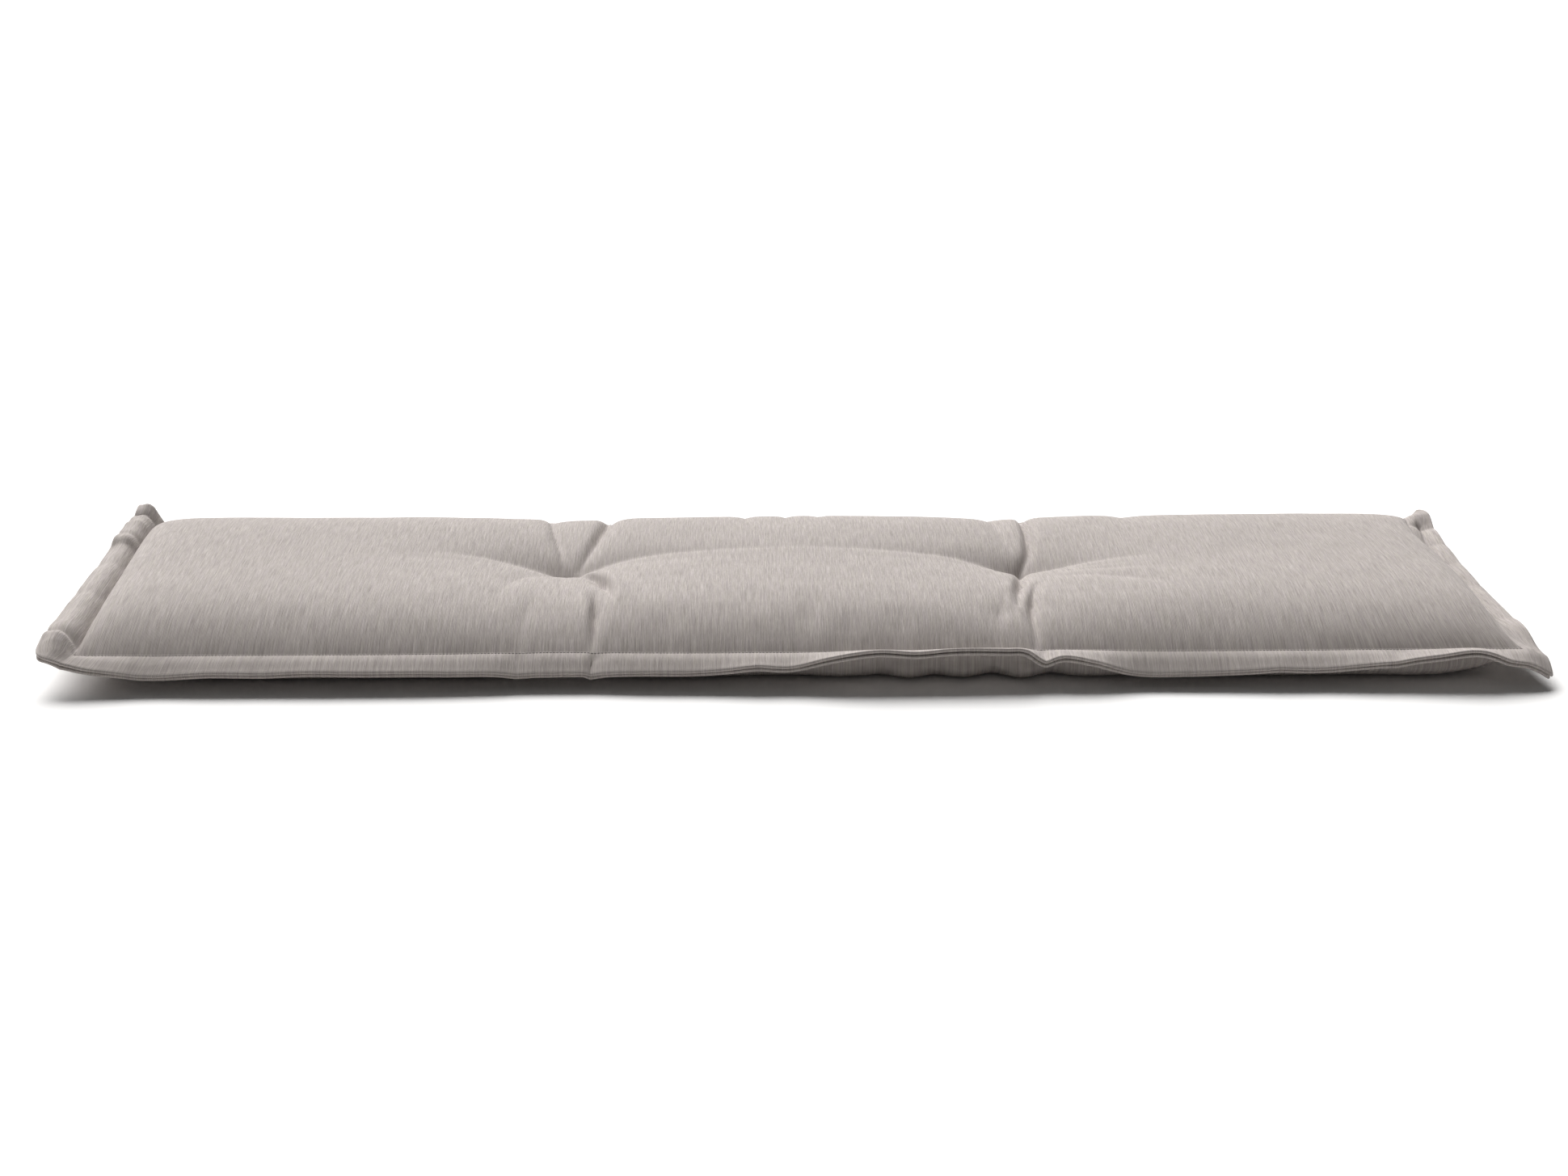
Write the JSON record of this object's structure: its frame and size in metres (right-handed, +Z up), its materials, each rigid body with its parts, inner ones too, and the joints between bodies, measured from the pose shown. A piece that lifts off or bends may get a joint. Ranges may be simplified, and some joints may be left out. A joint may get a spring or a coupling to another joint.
{
  "type": "bench cushion",
  "caption": "Long filled cushion for a bench seat, with a flat topstitched flange all round and a tuft at each third of its length.",
  "frame": {"origin": "on the surface that the cushion lies on, under the middle of its footprint", "axes": "+X along the cushion's length, +Y from its front edge to its back edge, +Z up"},
  "size_m": [1.4986, 0.5, 0.0651],
  "materials": {
    "cloth": "matt woven cloth with a fine slub running from front to back, warm light grey"
  },
  "bodies": {
    "root": {"cushion": "cloth"}
  },
  "joints": []
}
